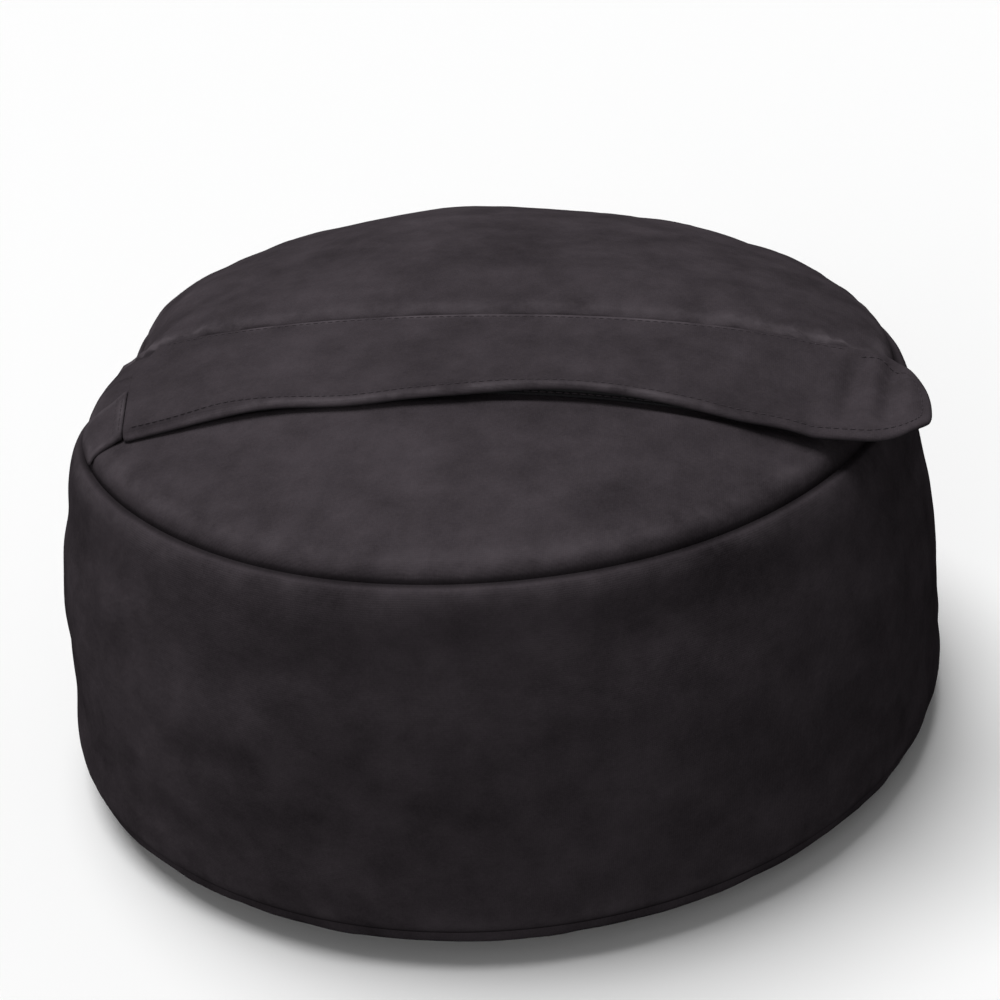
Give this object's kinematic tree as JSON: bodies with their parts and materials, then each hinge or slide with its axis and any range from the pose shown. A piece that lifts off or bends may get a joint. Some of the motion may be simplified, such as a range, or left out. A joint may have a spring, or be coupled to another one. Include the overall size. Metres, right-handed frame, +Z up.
{
  "type": "sandbag trainer",
  "caption": "Squat round training sandbag in charcoal nylon, domed top, hook-and-loop closure flap over a zipped fill opening",
  "frame": {"origin": "middle of the footprint, on the floor face of the base panel", "axes": "+Z up, the short extent; the flap's length runs along X with its free tongue to +X, and its free long edge faces -Y (the front)"},
  "size_m": [0.4504, 0.4554, 0.2324],
  "materials": {
    "shell_nylon": "matte woven",
    "binding_tape": "ribbed webbing",
    "hook_tape": "hooked pile",
    "loop_tape": "looped pile",
    "zip_teeth": "moulded",
    "slider_metal": "satin black",
    "sand": "loose dry grains"
  },
  "bodies": {
    "shell": {"side_wall": "shell_nylon", "side_seam_tape": "binding_tape", "base_panel": "shell_nylon", "base_reinforcement": "shell_nylon", "base_seam_binding": "binding_tape", "top_seam_binding": "binding_tape", "top_panel_front": "shell_nylon", "top_panel_rear": "shell_nylon", "flap_anchor": "shell_nylon", "flap_seam_tape": "binding_tape", "loop_tape": "loop_tape", "zip_tape_front": "binding_tape", "zip_tape_rear": "binding_tape", "zip_teeth_front": "zip_teeth", "zip_teeth_rear": "zip_teeth", "zip_stop_left": "slider_metal", "zip_stop_right": "slider_metal", "fill_funnel": "shell_nylon", "funnel_hook_tape": "hook_tape", "funnel_loop_tape": "loop_tape", "sand_fill": "sand"},
    "flap": {"closure_flap": "shell_nylon", "flap_lining": "shell_nylon", "hook_tape": "hook_tape"},
    "slider": {"zip_slider": "slider_metal", "zip_pull": "binding_tape"}
  },
  "joints": [
    {"name": "flap_lift", "type": "hinge", "parent": "shell", "child": "flap", "pos_m": [-0.00175, -0.03, 0.22783], "axis": [-1, 0, 0], "range_deg": [0, 150]},
    {"name": "zip_travel", "type": "hinge", "parent": "shell", "child": "slider", "pos_m": [-0.00175, -0.048, -0.62041], "axis": [0, -1, 0], "range_deg": [0, 15.8]}
  ]
}
